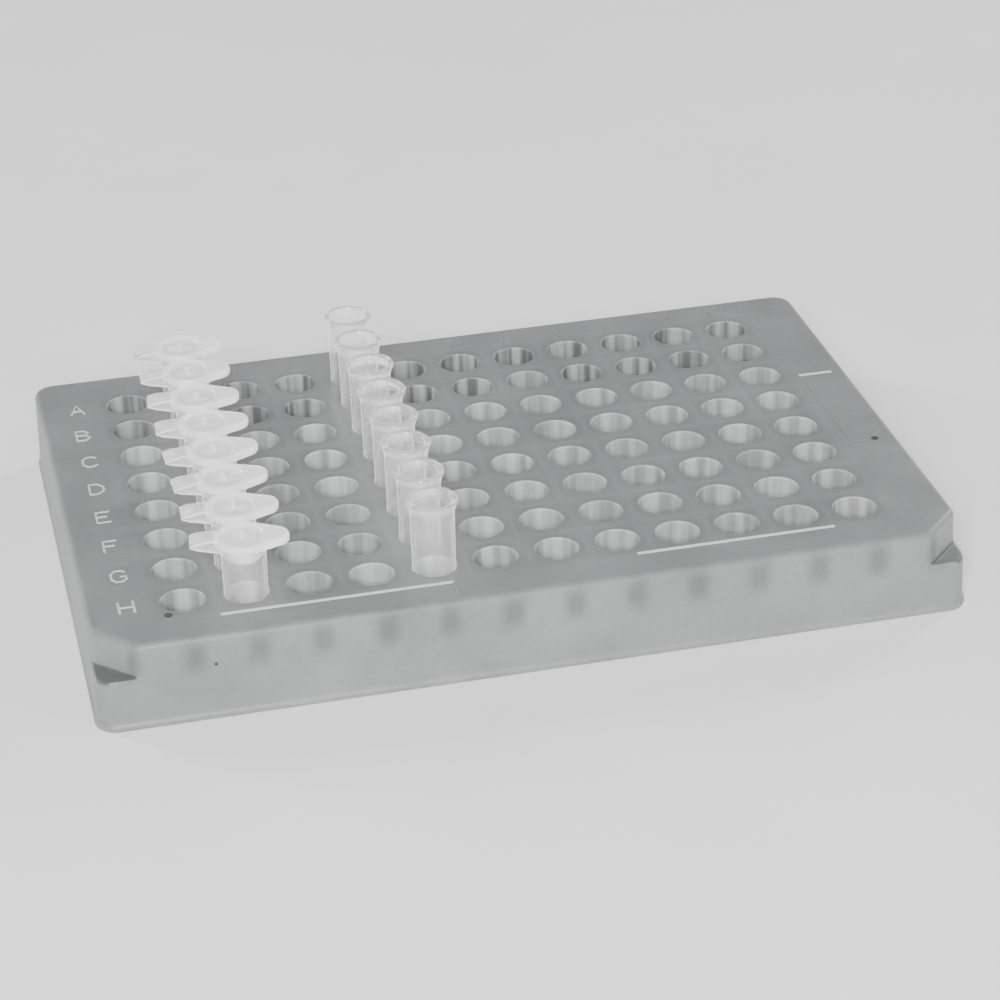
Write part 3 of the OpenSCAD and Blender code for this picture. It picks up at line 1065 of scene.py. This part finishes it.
def pin_mark(name, at, facing, radius, material):
    """Small round scar of a gate or an ejector pin, a hair proud of its face."""
    rise = 0.08 * MM
    section = [(0.0, -0.3 * MM), (radius, -0.3 * MM), (radius, 0.4 * rise),
               (0.85 * radius, rise), (0.3 * radius, 0.7 * rise), (0.0, 0.6 * rise)]
    mesh = lathe(name, section, segments=20)
    turn = Vector(facing).to_track_quat("Z", "Y").to_matrix().to_4x4()
    mesh.transform(Matrix.Translation(at) @ turn)
    pin = finished(name, mesh, material)
    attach(pin, "rack")


def make_marks(material, faint_material, scar_material):
    tree = stroke_tree(material)
    raised("row_letters", letter_strokes(), material, tree, 0.24 * MM, BEAD_SINK)
    faint = stroke_tree(faint_material)
    raised("column_numbers", number_strokes(), faint_material, faint, 0.22 * MM, BEAD_SINK)
    front = -GRID_W / 2
    side = GRID_L / 2
    left_end = column_x(5) + 1.7 * MM
    rules = [
        [(column_x(2) - 4.4 * MM, front - 0.8 * MM), (left_end, front - 0.8 * MM)],
        [(column_x(9) - 7.3 * MM, front - 0.1 * MM), (column_x(12) - 4.7 * MM, front - 0.1 * MM)],
        [(side + 1.5 * MM, row_y(2) - 1.6 * MM), (side + 6.9 * MM, row_y(2) - 1.6 * MM)],
    ]
    raised("label_field_rules", rules, material, tree, 0.36 * MM, 0.16 * MM)
    frames = [
        [(left_end, front - 0.8 * MM), (left_end, front - 4.9 * MM)],
        [(side + 2.0 * MM, row_y(2) - 4.0 * MM), (side + 2.0 * MM, row_y(4) - 7.4 * MM),
         (side + 4.4 * MM, row_y(4) - 7.4 * MM)],
    ]
    raised("label_field_frames", frames, faint_material, faint, 0.26 * MM, BEAD_SINK)
    pin_mark("gate_scar_left", (column_x(1) - 2.5 * MM, front + 1.0 * MM, DECK), (0, 0, 1),
             GATE_SCAR_R, scar_material)
    pin_mark("gate_scar_right", (side + 5.8 * MM, row_y(4) - 7.2 * MM, DECK), (0, 0, 1),
             GATE_SCAR_R, scar_material)
    scar_height = 8.6 * MM
    wall = SKIRT_HALF_W - LEAN * scar_height / DECK
    pin_mark("gate_scar_front", (column_x(1) + 2.8 * MM, -wall, scar_height), (0, -1, 0),
             PIN_SCAR_R, scar_material)


# ---------------------------------------------------------------- studio
def soft_box(name, at, aim, size, power):
    lamp = bpy.data.lights.new(name, "AREA")
    lamp.shape = "RECTANGLE"
    lamp.size, lamp.size_y = size
    lamp.energy = power
    holder = bpy.data.objects.new(name, lamp)
    bpy.context.scene.collection.objects.link(holder)
    holder.location = at
    holder.rotation_euler = (aim - Vector(at)).to_track_quat("-Z", "Y").to_euler()


def make_studio():
    bpy.ops.mesh.primitive_plane_add(size=4.0)
    floor = bpy.context.object
    floor.name = "studio_floor"
    floor.data.materials.append(studio_paper())
    world = bpy.data.worlds.new("studio")
    bpy.context.scene.world = world
    world.use_nodes = True
    sky = world.node_tree.nodes["Background"]
    sky.inputs["Color"].default_value = (0.92, 0.94, 0.96, 1)
    sky.inputs["Strength"].default_value = 0.50
    aim = Vector((0, 0, 0.01))
    soft_box("key_light", (-0.22, -0.78, 0.48), aim, (0.36, 0.24), 17.0)
    soft_box("fill_light", (0.62, -0.42, 0.34), aim, (0.40, 0.30), 1.5)
    soft_box("back_left_light", (-0.62, 0.52, 0.34), aim, (0.14, 0.34), 4.0)
    soft_box("back_right_light", (0.70, 0.46, 0.36), aim, (0.14, 0.34), 4.0)


def make_camera():
    """The view from the front left, a little above the rack."""
    azimuth, elevation, roll = (math.radians(v) for v in (-12.75, 28.68, -1.48))
    back = Vector((math.sin(azimuth) * math.cos(elevation),
                   -math.cos(azimuth) * math.cos(elevation), math.sin(elevation)))
    level_right = (-back).cross(Vector((0, 0, 1))).normalized()
    level_up = level_right.cross(-back)
    right = level_right * math.cos(roll) + level_up * math.sin(roll)
    up = level_up * math.cos(roll) - level_right * math.sin(roll)
    camera = bpy.data.cameras.new("camera")
    camera.sensor_width = 36.0
    camera.lens = 105.3
    camera.clip_start = 0.01
    holder = bpy.data.objects.new("camera", camera)
    bpy.context.scene.collection.objects.link(holder)
    turn = Matrix((right, up, back)).transposed().to_4x4()
    holder.matrix_world = Matrix.Translation((-0.0837, -0.3852, 0.2075 + DECK)) @ turn
    bpy.context.scene.camera = holder


# ---------------------------------------------------------------- assembly
rack_plastic = frosted_polypropylene()
NATURAL = (0.99, 0.99, 0.99)
tube_plastic = clear_polypropylene("clear_tube_polypropylene", 0.94, NATURAL, 0.03,
                                   edge_glow=1.0, lamp_share=0.75)
rim_plastic = clear_polypropylene("clear_rim_polypropylene", 0.86, NATURAL, 0.03,
                                  edge_glow=1.0, lamp_share=0.6)
cap_plastic = clear_polypropylene("milky_cap_polypropylene", 0.52, NATURAL, 0.07,
                                  edge_glow=1.0, lamp_share=0.6)
dish_plastic = clear_polypropylene("thin_cap_polypropylene", 0.66, NATURAL, 0.05,
                                   edge_glow=0.8, lamp_share=0.7)
strap_plastic = clear_polypropylene("clear_strap_polypropylene", 0.74, NATURAL, 0.06,
                                    edge_glow=1.0, lamp_share=0.7)
# Painted light: the raised marks are a lighter grey than the rack plastic, for the light their
# beads catch.
lit_mark_plastic = clear_polypropylene("lit_raised_mark_polypropylene", 0.0, (0.50, 0.505, 0.505), 0.40)

make_camera()
make_studio()
make_rack(rack_plastic)
make_marks(lit_mark_plastic, rack_plastic, scar_polypropylene())
for row in range(ROWS):
    make_open_tube(row, tube_plastic, rim_plastic)
    make_capped_tube(row, tube_plastic, rim_plastic)
    make_cap(row, cap_plastic, dish_plastic)
    make_strap(row, strap_plastic)
